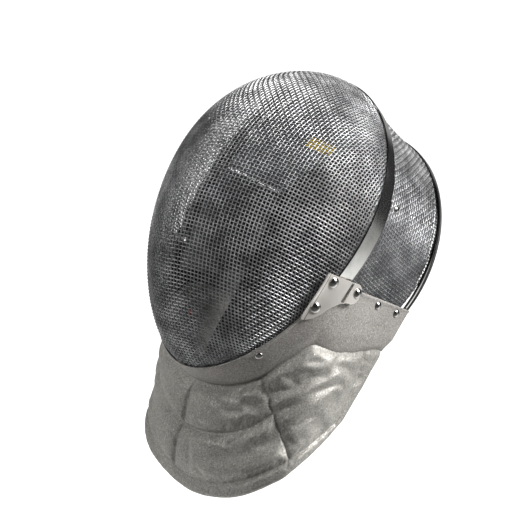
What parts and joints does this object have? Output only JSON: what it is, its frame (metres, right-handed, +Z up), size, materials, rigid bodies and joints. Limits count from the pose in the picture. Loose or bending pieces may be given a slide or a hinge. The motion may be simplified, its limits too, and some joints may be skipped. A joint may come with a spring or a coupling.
{
  "type": "fencing mask",
  "caption": "Sabre fencing mask: woven steel face and back cages, polished side band, bracket plates, padded silver bib.",
  "frame": {"origin": "head_seat: where the crown of the wearer's head rests, inside under the crown pad", "axes": "+Z up as worn, -Y the way the mask faces, +X the wearer's left"},
  "size_m": [0.217, 0.2596, 0.3845],
  "materials": {
    "cage_wire": "woven galvanised wire, dull",
    "polished_steel": "polished strip",
    "edging": "matt black edging",
    "band_cloth": "silver conductive cloth",
    "bib_cloth": "silver conductive cloth, quilted",
    "plate_steel": "satin nickel plate",
    "insert": "brown strip",
    "rivet_metal": "bright domed head",
    "pad_light": "blue-grey padding",
    "pad_dark": "dark padding",
    "label_cloth": "yellow woven patch, plain",
    "tag_cloth": "red tag, plain"
  },
  "bodies": {
    "root": {"mesh_front": "cage_wire", "mesh_back": "cage_wire", "side_band": "polished_steel", "rear_rim": "polished_steel", "rear_edging": "edging", "chin_band": "band_cloth", "bib": "bib_cloth", "crown_pad": "pad_light", "side_pad_left": "pad_dark", "side_pad_right": "pad_dark", "chin_pad": "pad_light", "back_pad": "pad_dark", "label_patch": "label_cloth", "tag_red": "tag_cloth", "bracket_left": "plate_steel", "bracket_right": "plate_steel", "slot_insert_left": "insert", "slot_insert_right": "insert", "rivet_plate_upper_left": "rivet_metal", "rivet_plate_upper_right": "rivet_metal", "rivet_plate_lower_left": "rivet_metal", "rivet_plate_lower_right": "rivet_metal", "rivet_plate_rear_left": "rivet_metal", "rivet_plate_rear_right": "rivet_metal", "rivet_flap_front_left": "rivet_metal", "rivet_flap_front_right": "rivet_metal", "rivet_flap_rear_left": "rivet_metal", "rivet_flap_rear_right": "rivet_metal", "rivet_chin_left": "rivet_metal", "rivet_chin_right": "rivet_metal", "stud_back_left": "rivet_metal", "stud_back_right": "rivet_metal"}
  },
  "joints": []
}
